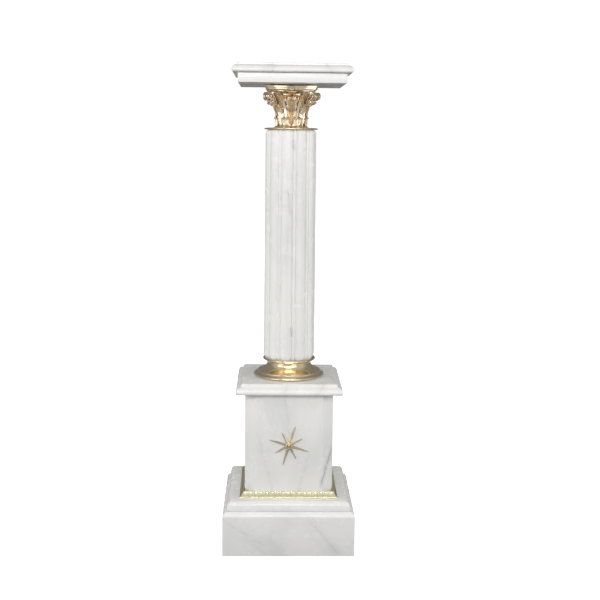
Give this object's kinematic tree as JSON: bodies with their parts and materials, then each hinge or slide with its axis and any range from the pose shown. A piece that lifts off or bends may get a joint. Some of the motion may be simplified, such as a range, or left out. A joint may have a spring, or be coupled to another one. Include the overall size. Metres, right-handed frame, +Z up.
{
  "type": "pedestal column",
  "caption": "Square-based stone pedestal column with a reeded shaft, gilt bronze foot, leafed capital and star, and a square moulded top that turns.",
  "frame": {"origin": "centre of the base's underside, on the floor", "axes": "+Z up along the column, the star faces -Y, +X to the right as seen from the front"},
  "size_m": [0.273, 0.273, 1],
  "materials": {
    "marble": "polished, faint grey veins",
    "gilt_bronze": "polished gilt",
    "brass_screw": "satin",
    "steel": "zinc plated",
    "bearing_bronze": "machined",
    "nylon": "natural"
  },
  "bodies": {
    "pedestal": {"base_block": "marble", "base_moulding": "marble", "base_nut": "steel", "base_washer": "steel", "capital_abacus": "gilt_bronze", "capital_body": "gilt_bronze", "capital_spacer": "steel", "clamp_nut": "steel", "clamp_washer": "steel", "column_foot": "gilt_bronze", "column_shaft": "marble", "die": "marble", "die_cap": "marble", "lock_nut": "steel", "necking_ring": "gilt_bronze", "retaining_washer": "steel", "skirting_back": "gilt_bronze", "skirting_front": "gilt_bronze", "skirting_left": "gilt_bronze", "skirting_pin_1": "brass_screw", "skirting_pin_2": "brass_screw", "skirting_pin_3": "brass_screw", "skirting_pin_4": "brass_screw", "skirting_pin_5": "brass_screw", "skirting_pin_6": "brass_screw", "skirting_pin_7": "brass_screw", "skirting_pin_8": "brass_screw", "skirting_right": "gilt_bronze", "star_ornament": "gilt_bronze", "star_screw": "brass_screw", "thrust_washer": "nylon", "tie_rod": "steel"},
    "top": {"bed_slab": "marble", "top_slab": "marble", "pivot_bush": "bearing_bronze"}
  },
  "joints": [
    {"name": "top_turn", "type": "hinge", "parent": "pedestal", "child": "top", "pos_m": [0, 0, 0.961], "axis": [0, 0, 1], "continuous": true}
  ]
}
